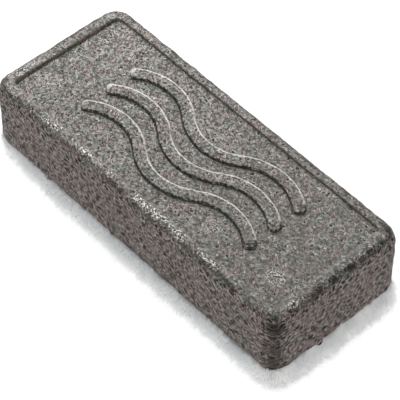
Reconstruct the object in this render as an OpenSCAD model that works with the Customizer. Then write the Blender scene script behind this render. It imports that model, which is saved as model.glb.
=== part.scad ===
// Block eraser for classroom boards.
// A moulded felt block stands on a soft pile pad. The pad is a knitted backing
// cloth with its pile hanging down, held to the block by a thin film of glue.
// Frame: origin at the centre of the pile's working face, +X along the length,
// +Y across the width, +Z up through the block. Sizes are in millimetres.

/* [Block] */
// Length of the block
block_l = 130; // [112:1:150]
// Width of the block
block_w = 53; // [48:1:64]
// Height of the block above the glue
block_h = 23.75; // [18:0.25:32]
// Radius of the block's upright corners
corner_r = 6.5; // [6:0.5:12]
// Radius of the block's top edge
top_r = 3.5; // [1.5:0.5:4]

/* [Top panel] */
// Width of the raised rim at each end
rim_end = 5.3; // [4.3:0.1:8]
// Width of the raised rim along each long side
rim_side = 4.5; // [4.2:0.1:6]
// Depth of the panel below the rim
panel_d = 1; // [0.6:0.1:1.6]
// Radius of the panel's corners
panel_r = 4; // [2:0.5:6]

/* [Raised waves] */
// Number of waves side by side
wave_count = 3; // [1:1:3]
// Number of arcs along each wave
arc_count = 3; // [1:1:3]
// Width of each wave's ridge
wave_w = 4.4; // [3:0.1:5]
// Height of the ridge above the panel, as a share of the panel's depth
wave_rise = 0.9; // [0.4:0.05:1]
// Distance between neighbouring waves
wave_pitch = 10; // [8:0.5:10]
// Radius of each arc, along the middle of the ridge
arc_r = 20; // [14:1:20]
// Half the angle that each arc turns through
arc_half = 38; // [20:1:38]

/* [Pad] */
// Thickness of the glue film
glue_t = 0.3; // [0.2:0.1:0.6]
// Distance that the glue stays in from the block's edge
glue_inset = 0.5; // [0.3:0.1:2]
// Thickness of the backing cloth
cloth_t = 1; // [0.6:0.1:1.6]
// Height of the pile
pile_h = 6.7; // [4:0.1:9]
// Distance that the pile spreads past the block at its lower edge
pile_spread = 1.5; // [0.5:0.1:2.5]
// Radius of the pile's lower edge
pile_edge_r = 1.6; // [0.8:0.1:2]

/* [Hidden] */
$fn = 64;

cloth_z = pile_h;
glue_z = cloth_z + cloth_t;
block_z = glue_z + glue_t;
panel_z = block_z + block_h - panel_d;
wave_h = wave_rise * panel_d;
arc_chord = 2 * arc_r * sin(arc_half);

// A solid with a rounded-rectangle plan. The child is half of its upright
// section, drawn outwards from the axis of a corner; it is turned round each
// corner and run along each side, and a plain core fills the middle.
module plan_sweep(l, w, r, h) {
    run_l = l - 2 * r;
    run_w = w - 2 * r;
    translate([-run_l / 2, -run_w / 2, 0]) cube([run_l, run_w, h]);
    for (half = [0, 180]) rotate([0, 0, half]) {
        translate([run_l / 2, run_w / 2, 0]) rotate_extrude(angle = 90) children();
        translate([-run_l / 2, run_w / 2, 0]) rotate([0, 0, 90])
            rotate_extrude(angle = 90) children();
        translate([run_l / 2, run_w / 2, 0]) rotate([90, 0, 0])
            linear_extrude(run_w) children();
        translate([-run_l / 2, run_w / 2, 0]) rotate([90, 0, 90])
            linear_extrude(run_l) children();
    }
}

// Half section with a rounded upper edge.
module round_top_section(r, h, edge) {
    square([r, h - edge]);
    square([r - edge, h]);
    translate([r - edge, h - edge]) intersection() {
        circle(edge);
        square(edge);
    }
}

// Half section of the pile: it leans outwards on its way down and turns under
// at its lower edge.
module pile_section(r, h, spread, edge) {
    out = r + spread;
    polygon([[0, 0], [out - edge, 0], [out - edge, edge], [out, edge], [r, h], [0, h]]);
    translate([out - edge, edge]) circle(edge);
}

module rounded_plate(l, w, t, r) {
    plan_sweep(l, w, r, t) square([r, t]);
}

// One ridge of arcs that bend up and down in turn, with rounded ends.
module wave_ridge() {
    for (i = [0 : arc_count - 1]) {
        x = (i - (arc_count - 1) / 2) * arc_chord;
        side = i % 2 == 0 ? 1 : -1;
        translate([x, -side * arc_r * cos(arc_half), 0])
            rotate([0, 0, side * 90 - arc_half])
                rotate_extrude(angle = 2 * arc_half, $fn = 180)
                    translate([arc_r - wave_w / 2, 0]) square([wave_w, wave_h]);
    }
    for (side = [-1, 1])
        translate([side * arc_count * arc_chord / 2, 0, 0]) cylinder(h = wave_h, d = wave_w);
}

module handle_block() {
    color([0.50, 0.48, 0.46]) {
        difference() {
            translate([0, 0, block_z]) plan_sweep(block_l, block_w, corner_r, block_h)
                round_top_section(corner_r, block_h, top_r);
            translate([0, 0, panel_z])
                rounded_plate(block_l - 2 * rim_end, block_w - 2 * rim_side, 2 * panel_d, panel_r);
        }
        for (i = [0 : wave_count - 1])
            translate([0, (i - (wave_count - 1) / 2) * wave_pitch, panel_z]) wave_ridge();
    }
}

module glue_film() {
    color([0.86, 0.83, 0.74])
        translate([0, 0, glue_z])
            rounded_plate(block_l - 2 * glue_inset, block_w - 2 * glue_inset, glue_t,
                corner_r - glue_inset);
}

module backing_cloth() {
    color([0.84, 0.84, 0.83])
        translate([0, 0, cloth_z]) rounded_plate(block_l, block_w, cloth_t, corner_r);
}

module pile() {
    color([0.93, 0.93, 0.92])
        plan_sweep(block_l, block_w, corner_r, pile_h)
            pile_section(corner_r, pile_h, pile_spread, pile_edge_r);
}

handle_block();
glue_film();
backing_cloth();
pile();
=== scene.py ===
import math
import random

import bpy
import numpy as np
from mathutils import Matrix, Vector, noise


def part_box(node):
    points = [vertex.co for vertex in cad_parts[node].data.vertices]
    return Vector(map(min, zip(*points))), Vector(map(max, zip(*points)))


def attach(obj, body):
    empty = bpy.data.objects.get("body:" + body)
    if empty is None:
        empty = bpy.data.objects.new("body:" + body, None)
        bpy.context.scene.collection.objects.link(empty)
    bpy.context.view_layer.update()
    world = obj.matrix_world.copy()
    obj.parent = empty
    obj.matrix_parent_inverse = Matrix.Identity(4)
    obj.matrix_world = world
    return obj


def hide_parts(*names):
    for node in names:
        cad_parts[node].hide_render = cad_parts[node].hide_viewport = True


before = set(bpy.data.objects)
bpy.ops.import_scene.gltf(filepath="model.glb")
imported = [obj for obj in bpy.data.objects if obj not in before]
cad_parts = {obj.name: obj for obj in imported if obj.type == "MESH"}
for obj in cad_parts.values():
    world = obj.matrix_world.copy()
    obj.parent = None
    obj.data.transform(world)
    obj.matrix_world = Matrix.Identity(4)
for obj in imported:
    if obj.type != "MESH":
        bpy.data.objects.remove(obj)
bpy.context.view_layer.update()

blockLow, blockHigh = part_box("handle_block")
clothLow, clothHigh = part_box("backing_cloth")
pileLow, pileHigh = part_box("pile")
mm = 0.001
print("frame loaded")


# small helpers

def deselectAll():
    bpy.ops.object.select_all(action="DESELECT")


def makeActive(obj):
    deselectAll()
    obj.select_set(True)
    bpy.context.view_layer.objects.active = obj


def selectInEdit(obj, kind, test):
    # selects the faces, edges or vertices of obj that pass the test, and stays in edit mode
    bpy.ops.object.mode_set(mode="EDIT")
    bpy.ops.mesh.select_mode(type=kind)
    bpy.ops.mesh.select_all(action="DESELECT")
    bpy.ops.object.mode_set(mode="OBJECT")
    mesh = obj.data
    items = {"FACE": mesh.polygons, "EDGE": mesh.edges, "VERT": mesh.vertices}[kind]
    for item in items:
        item.select = bool(test(item))
    bpy.ops.object.mode_set(mode="EDIT")


def edgeEnds(obj, edge):
    return [obj.data.vertices[i].co for i in edge.vertices]


def applyModifier(obj, kind, **settings):
    makeActive(obj)
    modifier = obj.modifiers.new(kind.lower(), kind)
    for key, value in settings.items():
        setattr(modifier, key, value)
    bpy.ops.object.modifier_apply(modifier=modifier.name)


def applyPlace(obj):
    makeActive(obj)
    bpy.ops.object.transform_apply(location=True, rotation=True, scale=True)


def joinPieces(target, others):
    deselectAll()
    for other in others:
        other.select_set(True)
    target.select_set(True)
    bpy.context.view_layer.objects.active = target
    bpy.ops.object.join()


def readPoints(obj):
    co = np.zeros(len(obj.data.vertices) * 3)
    obj.data.vertices.foreach_get("co", co)
    return co.reshape(-1, 3)


def writePoints(obj, points):
    obj.data.vertices.foreach_set("co", points.astype(np.float32).ravel())
    obj.data.update()


def readNormals(obj):
    normals = np.zeros(len(obj.data.vertices) * 3)
    obj.data.vertices.foreach_get("normal", normals)
    return normals.reshape(-1, 3)


def storeValue(obj, name, values):
    layer = obj.data.attributes.new(name, "FLOAT", "POINT")
    layer.data.foreach_set("value", np.asarray(values, np.float32))


def storeVector(obj, name, values):
    layer = obj.data.attributes.new(name, "FLOAT_VECTOR", "POINT")
    layer.data.foreach_set("vector", np.asarray(values, np.float32).ravel())


def smoothStep(low, high, x):
    t = np.clip((x - low) / (high - low), 0, 1)
    return t * t * (3 - 2 * t)


def lumpNoise(points, size, seed):
    # smooth noise from -1 to 1 whose lumps are about size across
    shift = Vector((seed * 7.31, seed * 3.17, seed * 5.53))
    return np.array([noise.noise(Vector(p) / size + shift) for p in points])


def bell(x, centre, width):
    return np.exp(-((x - centre) / width) ** 2)


def outlineDistance(points, halfLength, halfWidth, radius):
    # how far a point is outside the rounded rectangle, negative inside
    q = np.abs(points[:, :2]) - np.array([halfLength - radius, halfWidth - radius])
    outside = np.linalg.norm(np.maximum(q, 0), axis=1)
    return outside + np.minimum(q.max(axis=1), 0) - radius


# camera: it looks down at the near corner, along a diagonal of the block

shot = {
    "azimuth": 47.756,     # degrees round from the -Y side
    "elevation": 50.271,
    "roll": -0.171,
    "distance": 609.057 * mm,
    "aside": 2.737 * mm,   # the view's middle lies this far right of the block's middle
    "below": 13.876 * mm,  # and this far under it
    "lens": 180.572,
}


def addCamera():
    a, e = math.radians(shot["azimuth"]), math.radians(shot["elevation"])
    right = Vector((math.cos(a), math.sin(a), 0))
    back = Vector((math.sin(a) * math.cos(e), -math.cos(a) * math.cos(e), math.sin(e)))
    up = back.cross(right)
    turn = Matrix.Rotation(-math.radians(shot["roll"]), 3, back)
    right, up = turn @ right, turn @ up
    data = bpy.data.cameras.new("camera")
    data.lens = shot["lens"]
    data.sensor_width = 36
    data.clip_start, data.clip_end = 0.01, 20
    camera = bpy.data.objects.new("camera", data)
    bpy.context.scene.collection.objects.link(camera)
    panelMiddle = Vector((0, 0, blockHigh.z))
    place = panelMiddle + back * shot["distance"] + right * shot["aside"] - up * shot["below"]
    camera.matrix_world = Matrix.Translation(place) @ Matrix((right, up, back)).transposed().to_4x4()
    bpy.context.scene.camera = camera


addCamera()
print("camera placed")


# handle block: one moulding of felt, with a rim, a sunk panel and raised waves

block = {
    "cornerRadius": 6.5 * mm,
    "edgeRadius": 3.5 * mm,
    "rimEnd": 5.3 * mm,
    "rimSide": 4.5 * mm,
    "panelDepth": 1 * mm,
    "endDraft": 0.8 * mm,    # the step down to the panel leans in this much
    "sideDraft": 0.3 * mm,
    "waveCount": 3,
    "arcCount": 3,
    "waveWidth": 4.4 * mm,
    "waveRise": 0.9 * mm,
    "waveSink": 1.5 * mm,    # the ridge goes this far into the block
    "waveTaper": 0.86,       # width of the ridge's top over its foot
    "waveRound": 0.62 * mm,
    "wavePitch": 10 * mm,
    "arcRadius": 20 * mm,
    "arcHalf": math.radians(38),
    "voxel": 0.47 * mm,
}


def bevelledBlock():
    size = blockHigh - blockLow
    bpy.ops.mesh.primitive_cube_add(size=1, location=(blockLow + blockHigh) / 2, scale=size)
    obj = bpy.context.object
    obj.name = obj.data.name = "handleBlock"
    applyPlace(obj)
    top = blockHigh.z

    def upright(edge):
        a, b = edgeEnds(obj, edge)
        return abs(a.z - b.z) > size.z / 2

    def topRound(edge):
        a, b = edgeEnds(obj, edge)
        return min(a.z, b.z) > top - 0.01 * mm

    def topFace(face):
        return face.normal.z > 0.9 and face.center.z > top - 0.01 * mm

    selectInEdit(obj, "EDGE", upright)
    bpy.ops.mesh.bevel(offset=block["cornerRadius"], segments=12, affect="EDGES")
    selectInEdit(obj, "EDGE", topRound)
    bpy.ops.mesh.bevel(offset=block["edgeRadius"], segments=8, affect="EDGES")
    selectInEdit(obj, "FACE", topFace)
    bpy.ops.mesh.inset(thickness=block["rimSide"] - block["edgeRadius"])
    halfNow = size.x / 2 - block["rimSide"]
    bpy.ops.transform.resize(value=((size.x / 2 - block["rimEnd"]) / halfNow, 1, 1))
    bpy.ops.mesh.extrude_region_move(TRANSFORM_OT_translate={"value": (0, 0, -block["panelDepth"])})
    lean = (1 - 2 * block["endDraft"] / size.x, 1 - 2 * block["sideDraft"] / size.y, 1)
    bpy.ops.transform.resize(value=lean)
    bpy.ops.object.mode_set(mode="OBJECT")
    return obj


def waveRidge():
    # a tapered section, spun round one arc after another, with a round stub at each end
    panel = blockHigh.z - block["panelDepth"]
    height = block["waveSink"] + block["waveRise"]
    middle = panel - block["waveSink"] + height / 2
    half, radius = block["arcHalf"], block["arcRadius"]
    chord = 2 * radius * math.sin(half)
    startX = -block["arcCount"] * chord / 2
    bpy.ops.mesh.primitive_plane_add(size=1, rotation=(math.pi / 2, 0, 0))
    obj = bpy.context.object
    obj.scale = (block["waveWidth"], height, 1)
    applyPlace(obj)
    selectInEdit(obj, "VERT", lambda v: v.co.z > 0)
    bpy.ops.transform.resize(value=(block["waveTaper"], 1, 1))
    bpy.ops.object.mode_set(mode="OBJECT")
    obj.rotation_euler = (0, 0, math.pi / 2 + half)
    obj.location = (startX, 0, middle)
    applyPlace(obj)
    selectInEdit(obj, "FACE", lambda f: True)
    for i in range(block["arcCount"]):
        side = 1 if i % 2 == 0 else -1
        centre = (startX + (i + 0.5) * chord, -side * radius * math.cos(half), middle)
        # a positive angle spins clockwise, seen from above
        bpy.ops.mesh.spin(steps=40, angle=side * 2 * half, center=centre, axis=(0, 0, 1))
    bpy.ops.object.mode_set(mode="OBJECT")
    for x in (startX, -startX):
        bpy.ops.mesh.primitive_cone_add(
            vertices=40, radius1=block["waveWidth"] / 2, depth=height, location=(x, 0, middle),
            radius2=block["waveWidth"] / 2 * block["waveTaper"])
        stub = bpy.context.object
        applyPlace(stub)
        applyModifier(obj, "BOOLEAN", operation="UNION", solver="EXACT", object=stub)
        bpy.data.objects.remove(stub)
    applyModifier(obj, "BEVEL", width=block["waveRound"], segments=3, angle_limit=math.radians(40))
    return obj


def copyOf(obj, shift):
    twin = obj.copy()
    twin.data = obj.data.copy()
    twin.data.transform(Matrix.Translation(shift))
    bpy.context.scene.collection.objects.link(twin)
    return twin


def tidyUnderside(obj):
    # the flat underside is glued over, so one face does for its inner part
    inner = block["cornerRadius"] / 2

    def underside(face):
        x, y, z = face.center
        flat = z < blockLow.z + block["voxel"] / 2
        return flat and abs(x) < blockHigh.x - inner and abs(y) < blockHigh.y - inner

    selectInEdit(obj, "FACE", underside)
    bpy.ops.mesh.dissolve_faces()
    bpy.ops.object.mode_set(mode="OBJECT")


def buildBlock():
    obj = bevelledBlock()
    applyModifier(obj, "REMESH", mode="VOXEL", voxel_size=block["voxel"])
    applyModifier(obj, "SMOOTH", factor=0.5, iterations=1)
    tidyUnderside(obj)
    return obj


def ridgeRows():
    return [(i - (block["waveCount"] - 1) / 2) * block["wavePitch"] for i in range(block["waveCount"])]


def buildRidges():
    ridge = waveRidge()
    ridges = [copyOf(ridge, (0, y, 0)) for y in ridgeRows()]
    bpy.data.objects.remove(ridge)
    return ridges


handleBlock = buildBlock()
print("block moulded:", len(handleBlock.data.polygons), "faces")


# how the felt's surface runs: where it is side or top, and along which way its fibres lie

surface = {
    "wearSeed": 11,
    "lump": 0.24 * mm,        # slow swells of the moulding
    "lumpSize": 5.5 * mm,
    "ripple": 0.15 * mm,      # finer unevenness
    "rippleSize": 1.9 * mm,
    "furrow": 0.10 * mm,      # shallow furrows along the fibres of the sides
    "furrowLength": 3.2 * mm,
    "furrowWidth": 1.15 * mm,
    "edgeSway": 0.40 * mm,    # the trimmed lower edge runs up and down this much
    "nearTrim": 0.8 * mm,     # the near side was trimmed this much short towards the right
    "nearTuck": 0.3 * mm,     # and drawn in by this much at its foot
    "fibreSlope": math.radians(30),
    "pitCount": 260,
    "pitDepth": 0.55 * mm,
    "pitRadius": (0.55 * mm, 1.0 * mm),
    "nubCount": 34,           # nubs of loose felt along the lower edge
    "nubHeight": (0.1 * mm, 0.55 * mm),
    "nubRadius": (0.9 * mm, 1.8 * mm),
    # where the lower edge is chipped: place, radius and depth, all in mm; a negative depth is a nub
    "chips": [(65, -6.0, 13.2, 1.8, 1.5), (65, -7.4, 8.2, 1.9, -0.9), (65, -4.4, 9.6, 1.4, 1.0),
              (65, 1.5, 12.4, 1.2, 0.8), (-15.1, -26.5, 8.2, 1.4, 1.0), (16.8, -26.5, 8.0, 1.2, 0.7),
              (-52, -26.5, 12.5, 1.1, 0.8)],
}


# worn and frayed marks, and the painted shade and painted highlights of the felt
wearAndPaintedLight = {
    "wayBlend": 1.2 * mm,
    "highlightWay": (-0.62, 0.78),      # painted highlight on the ridges' back edges that face this way
    "patchSize": 6 * mm,             # the arris is frayed in patches; its pale strands are also a painted glint
    "patchDetail": 1.6 * mm,
    "arrisDrop": 0.3 * mm,
    "arrisWidth": 1.3 * mm,
    "arrisStart": (4 * mm, 12 * mm),  # it isn't frayed closer to the near corner than this
    "sideStart": (1.6 * mm, 3.4 * mm),
    "shoulderRise": 1.8 * mm,
    "shoulderPath": 4.6 * mm,
    "shoulderWidth": 2.6 * mm,
    "bandDrop": (1.9 * mm, 1.4 * mm),   # painted shade: the dark band on the sides, then on the right end
    "bandWidth": (0.9 * mm, 1.3 * mm),
    "bandStrength": (0.65, 1.2),
    # painted shade down the near corner, and a darker painted V below its point
    "cornerWidth": 3.0 * mm,
    "cornerStrength": 1.15,
    "cornerVDrop": 5.2 * mm,
    "cornerVSize": (2.8 * mm, 1.8 * mm),
    "cornerVStrength": 1.6,
    "trimHeight": 1.6 * mm,
    "trimStrength": 0.8,
    # painted shade in the chips' hollows
    "chipStrength": 1.8,
    "most": 2.1,
    # crumbled spots on the panel: place and radius in mm, and strength
    "crumbled": [
        (-53, -12.4, 3.6, 0.55), (3, -13, 3.2, 0.45),
        (24.6, -13.3, 3.0, 0.5), (50.6, -12.8, 3.2, 0.9)],
    "ridgeReach": (3.1 * mm, 2.6 * mm),
}


def pathFromNearCorner(points):
    # distance along the block's outline from its near corner (+X, -Y), counted both ways round
    radius = block["cornerRadius"]
    a, b = blockHigh.x - radius, blockHigh.y - radius
    quarter = radius * math.pi / 2
    x, y = points[:, 0], points[:, 1]
    dx, dy = x - np.clip(x, -a, a), y - np.clip(y, -b, b)
    turn = np.arctan2(dy, dx)
    nearSide, farSide = y < -b, y > b
    rightEnd, leftEnd = x > a, x < -a
    rounds = [
        (nearSide & rightEnd, radius * np.abs(turn + math.pi / 4)),
        (farSide & rightEnd, quarter / 2 + 2 * b + radius * turn),
        (nearSide & leftEnd, quarter / 2 + 2 * a + radius * (-math.pi / 2 - turn)),
        (farSide & leftEnd, 2 * quarter - quarter / 2 + 2 * (a + b)
            + radius * np.minimum(turn - math.pi / 2, math.pi - turn)),
        (nearSide, quarter / 2 + a - x),
        (rightEnd, quarter / 2 + b + y),
        (farSide, quarter * 1.5 + 2 * b + a - x),
        (leftEnd, quarter * 1.5 + 2 * a + b + y),
    ]
    return np.select([r[0] for r in rounds], [r[1] for r in rounds], 0.0)


def wayRound(points, path):
    # 1 by the right end and the far side, -1 by the near side and the left end, blended where they meet
    radius = block["cornerRadius"]
    inner = np.array([blockHigh.x - radius, blockHigh.y - radius])
    beyond = points[:, :2] - np.clip(points[:, :2], -inner, inner)
    longest = radius * math.pi + 2 * inner.sum()
    return np.sign(beyond.sum(axis=1)) * np.tanh(np.minimum(path, longest - path) / wearAndPaintedLight["wayBlend"])


def edgeTurn(points):
    # 0 on top, 1 on the sides, and in between round the top edge
    outside = outlineDistance(points, blockHigh.x, blockHigh.y, block["cornerRadius"]) + block["edgeRadius"]
    above = points[:, 2] - (blockHigh.z - block["edgeRadius"])
    return np.arctan2(np.maximum(outside, 0), np.maximum(above, 1e-6)) / (math.pi / 2)


def dropFromTop(points, turn):
    # how far down over the edge a point is, along the surface, from where the top stops being flat
    radius = block["edgeRadius"]
    inside = outlineDistance(points, blockHigh.x, blockHigh.y, block["cornerRadius"]) + radius
    below = blockHigh.z - radius - points[:, 2]
    return turn * radius * math.pi / 2 + np.maximum(below, 0) + np.minimum(inside, 0)


def onPanel(points):
    return smoothStep(blockHigh.z - 3 * mm, blockHigh.z - 2 * mm, points[:, 2])


def ridgePlace(points):
    # the signed distance from the nearest ridge's middle line, a mask round the ridges, and whether
    # the ridge's back edge faces the way of the painted highlight
    radius, half = block["arcRadius"], block["arcHalf"]
    chord = 2 * radius * math.sin(half)
    startX = -block["arcCount"] * chord / 2
    highlightWay = np.array(wearAndPaintedLight["highlightWay"])
    outer, inner = wearAndPaintedLight["ridgeReach"]
    best = np.full(len(points), 9.0)
    facing = np.zeros(len(points))
    for y in ridgeRows():
        for i in range(block["arcCount"]):
            side = 1 if i % 2 == 0 else -1
            centre = np.array([startX + (i + 0.5) * chord, y - side * radius * math.cos(half)])
            arm = points[:, :2] - centre
            reach = np.linalg.norm(arm, axis=1)
            offset = side * (reach - radius)
            here = np.abs(arm[:, 0]) < chord / 2
            nearer = here & (np.abs(offset) < np.abs(best)) & (side * arm[:, 1] > 0)
            best[nearer] = offset[nearer]
            facing[nearer] = (side * (arm @ highlightWay) / np.maximum(reach, 1e-9))[nearer]
        # past its ends a ridge counts as back edge on the left and as front flank on the right
        for end, sign in ((startX, 1), (-startX, -1)):
            arm = points[:, :2] - np.array([end, y])
            reach = np.linalg.norm(arm, axis=1)
            past = (arm[:, 0] * end > 0) & (reach < outer)
            best[past] = sign * reach[past]
            facing[past] = (arm[past] @ highlightWay) / reach[past]
    ridge = smoothStep(outer, inner, np.abs(best)) * onPanel(points)
    return np.clip(best, -3 * mm, 3 * mm), ridge, facing


def markFrayed(obj, points, path, drop, nearSide, rightEnd):
    patches = lumpNoise(points, wearAndPaintedLight["patchSize"], 4) * 1.5
    patches = patches + lumpNoise(points, wearAndPaintedLight["patchDetail"], 14) * 0.8 + 0.5
    along = np.maximum(nearSide * smoothStep(*wearAndPaintedLight["arrisStart"], path), 0.35 * rightEnd)
    # frayed fibres on the arris, whose pale strands also stand in for a painted glint
    wornAndGlint = bell(drop, wearAndPaintedLight["arrisDrop"], wearAndPaintedLight["arrisWidth"]) * patches * (0.15 + 0.85 * along)
    storeValue(obj, "wornAndGlint", np.clip(wornAndGlint, 0, 1) * np.maximum(nearSide, rightEnd))
    crumbs = np.zeros(len(points))
    top = points[:, 2] > blockHigh.z - 3 * mm
    ragged = np.clip(0.8 + 1.2 * lumpNoise(points, 2 * mm, 9), 0, 1)
    for x, y, radius, strength in wearAndPaintedLight["crumbled"]:
        away = np.linalg.norm(points[:, :2] - np.array([x, y]) * mm, axis=1) / (radius * mm)
        crumbs = np.maximum(crumbs, np.where(top, strength * np.exp(-away ** 4) * ragged, 0))
    storeValue(obj, "crumbled", crumbs)


def markPaintedShade(obj, points, path, drop, turn, rightEnd):
    # painted shade: dark just over the arris, down the near corner with a darker V below its point, and in
    # the chips' hollows; also darker along the trimmed lower edge
    level, width, strength = (low + (high - low) * rightEnd for low, high in (
        wearAndPaintedLight["bandDrop"], wearAndPaintedLight["bandWidth"], wearAndPaintedLight["bandStrength"]))
    lumps = 0.75 + 1.1 * lumpNoise(points, 3.2 * mm, 7) + 0.5 * lumpNoise(points, 1.2 * mm, 17)
    paintedShade = bell(drop, level, width) * np.clip(lumps, 0, 1.2) * strength
    paintedShade += wearAndPaintedLight["cornerStrength"] * bell(path, 0, wearAndPaintedLight["cornerWidth"]) * smoothStep(0.5, 0.8, turn)
    across, down = wearAndPaintedLight["cornerVSize"]
    paintedShade += wearAndPaintedLight["cornerVStrength"] * bell(path, 0, across) * bell(drop, wearAndPaintedLight["cornerVDrop"], down)
    trimmed = smoothStep(wearAndPaintedLight["trimHeight"], 0.2 * mm, points[:, 2] - blockLow.z)
    paintedShade += wearAndPaintedLight["trimStrength"] * trimmed * np.clip(0.5 + lumpNoise(points, 2.4 * mm, 12), 0, 1)
    holes = np.zeros(len(points))
    for x, y, z, radius, depth in surface["chips"]:
        if depth > 0:
            away = np.linalg.norm(points - np.array([x, y, z]) * mm, axis=1) / (radius * mm)
            holes = np.maximum(holes, smoothStep(0.75, 0.35, away))
    storeValue(obj, "paintedShade", np.clip(paintedShade + wearAndPaintedLight["chipStrength"] * holes, 0, wearAndPaintedLight["most"]))


def markRelief(obj, points):
    # the ridges, and the step down to the panel: 0 at its top, -1 at its foot
    lateral, ridge, facing = ridgePlace(points)
    storeValue(obj, "lateral", lateral)
    storeValue(obj, "ridge", ridge)
    # painted highlight: the back edges of the ridges that face the highlight way
    storeValue(obj, "paintedHighlight", ridge * smoothStep(0.0, 0.6, facing))
    halfX, halfY = blockHigh.x - block["rimEnd"], blockHigh.y - block["rimSide"]
    ends = np.abs(points[:, 0]) - halfX > np.abs(points[:, 1]) - halfY
    draft = np.where(ends, block["endDraft"], block["sideDraft"])
    storeValue(obj, "step", np.clip(outlineDistance(points, halfX, halfY, 3 * mm) / draft, -3, 3))
    # only the far end and the far side of the step face forward, and only they get painted shade
    farEnd = smoothStep(0, -20 * mm, points[:, 0]) * ends
    farSide = smoothStep(0, 10 * mm, points[:, 1]) * ~ends
    storeValue(obj, "shaded", onPanel(points) * np.maximum(farEnd, farSide))


def markSurface(obj):
    points = readPoints(obj)
    path, turn = pathFromNearCorner(points), edgeTurn(points)
    drop, way = dropFromTop(points, turn), wayRound(points, path)
    inward = -np.minimum(outlineDistance(points, blockHigh.x, blockHigh.y, block["cornerRadius"]), 0)
    # the two ways round differ, so the near corner isn't a mirror
    flow = [path + 0.9 * mm * way, points[:, 2] - blockLow.z + inward, 2 * mm * way]
    storeVector(obj, "flow", np.stack(flow, axis=1))
    # beside the near corner the top is given the sides' strand texture and tint, standing in for the shade
    # of a rounder arris, so the top seems to end in a point there
    shoulder = wearAndPaintedLight["shoulderRise"] * bell(path, wearAndPaintedLight["shoulderPath"], wearAndPaintedLight["shoulderWidth"]) * (turn > 0)
    storeValue(obj, "side", smoothStep(*wearAndPaintedLight["sideStart"], drop + shoulder))
    nearSide = smoothStep(0, 0.02, -points[:, 1])
    rightEnd = smoothStep(blockHigh.x - 12 * mm, blockHigh.x - 4 * mm, points[:, 0])
    markFrayed(obj, points, path, drop, nearSide, rightEnd)
    markPaintedShade(obj, points, path, drop, turn, rightEnd)
    markRelief(obj, points)


def pressPit(points, normals, centre, radius, depth):
    # a smooth hollow, or a lump when the depth is negative
    reach = np.linalg.norm(points - centre, axis=1) / radius
    near = reach < 1
    points[near] -= normals[near] * (depth * (1 - reach[near] ** 2) ** 2)[:, None]


def swell(points):
    # how far the moulding's surface stands out from its ideal shape
    return (surface["lump"] * lumpNoise(points, surface["lumpSize"], 1)
            + surface["ripple"] * lumpNoise(points, surface["rippleSize"], 2))


def trimLowerEdge(moved, points, path, turn, height):
    edge = smoothStep(2.2 * mm, 0.4 * mm, height) * smoothStep(0.8, 1, turn)
    alongEdge = np.stack([path, np.zeros(len(path)), np.zeros(len(path))], axis=1)
    sway = lumpNoise(alongEdge, 7 * mm, 5) + lumpNoise(alongEdge, 2.1 * mm, 6)
    short = smoothStep(-40 * mm, 20 * mm, points[:, 0]) * smoothStep(0, 20 * mm, -points[:, 1])
    short *= smoothStep(1 * mm, 6 * mm, path)
    moved[:, 2] += (surface["edgeSway"] * sway + surface["nearTrim"] * short) * edge
    moved[:, 1] += surface["nearTuck"] * short * smoothStep(12 * mm, 1 * mm, height)


def weatherBlock(obj):
    points, normals = readPoints(obj), readNormals(obj)
    path, turn = pathFromNearCorner(points), edgeTurn(points)
    height = points[:, 2] - blockLow.z
    rng = random.Random(surface["wearSeed"])
    cosine, sine = math.cos(surface["fibreSlope"]), math.sin(surface["fibreSlope"])
    along, across = path * cosine + height * sine, height * cosine - path * sine
    lain = [along / surface["furrowLength"], across / surface["furrowWidth"], np.zeros(len(path))]
    furrows = surface["furrow"] * lumpNoise(np.stack(lain, axis=1), 1, 3) * smoothStep(0.6, 0.9, turn)
    moved = points + normals * (swell(points) + furrows)[:, None]
    trimLowerEdge(moved, points, path, turn, height)
    # pits everywhere on the sides and more thinly on top
    spots = [i for i in range(len(points)) if turn[i] > 0.1 or rng.random() < 0.35]
    for i in range(surface["pitCount"]):
        centre = points[rng.choice(spots)]
        radius = rng.uniform(*surface["pitRadius"])
        pressPit(moved, normals, centre, radius, surface["pitDepth"] * rng.uniform(0.4, 1))
    lowerEdge = list(np.nonzero((height < 1.2 * mm) & (turn > 0.9))[0])
    for i in range(surface["nubCount"]):
        centre = points[rng.choice(lowerEdge)]
        radius = rng.uniform(*surface["nubRadius"])
        pressPit(moved, normals, centre, radius, -rng.uniform(*surface["nubHeight"]))
    for x, y, z, radius, depth in surface["chips"]:
        pressPit(moved, normals, np.array([x, y, z]) * mm, radius * mm, depth * mm)
    writePoints(obj, moved)


def raiseRidge(obj, ridge):
    points = readPoints(ridge)
    points[:, 2] += swell(points)
    writePoints(ridge, points)
    applyModifier(obj, "BOOLEAN", operation="UNION", solver="EXACT", object=ridge)
    bpy.data.objects.remove(ridge)


weatherBlock(handleBlock)
for ridge in buildRidges():
    raiseRidge(handleBlock, ridge)
markSurface(handleBlock)
makeActive(handleBlock)
bpy.ops.object.shade_smooth_by_angle(angle=math.radians(42))
print("felt surface shaped")


# shader building blocks

def put(tree, kind, place, inputs={}, **settings):
    # adds a node; an input is either a value or the socket that feeds it
    node = tree.nodes.new(kind)
    node.location = place
    for key, value in settings.items():
        setattr(node, key, value)
    for key, value in inputs.items():
        if isinstance(value, bpy.types.NodeSocket):
            tree.links.new(value, node.inputs[key])
        else:
            node.inputs[key].default_value = value
    return node


def maths(tree, operation, a, b=0.5, place=(0, 0), clamp=False):
    return put(tree, "ShaderNodeMath", place, {0: a, 1: b}, operation=operation, use_clamp=clamp).outputs[0]


def product(tree, a, b, place=(0, 0), clamp=False):
    return maths(tree, "MULTIPLY", a, b, place, clamp)


def vectorMaths(tree, operation, a, b, place=(0, 0)):
    return put(tree, "ShaderNodeVectorMath", place, {0: a, 1: b}, operation=operation).outputs[0]


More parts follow.
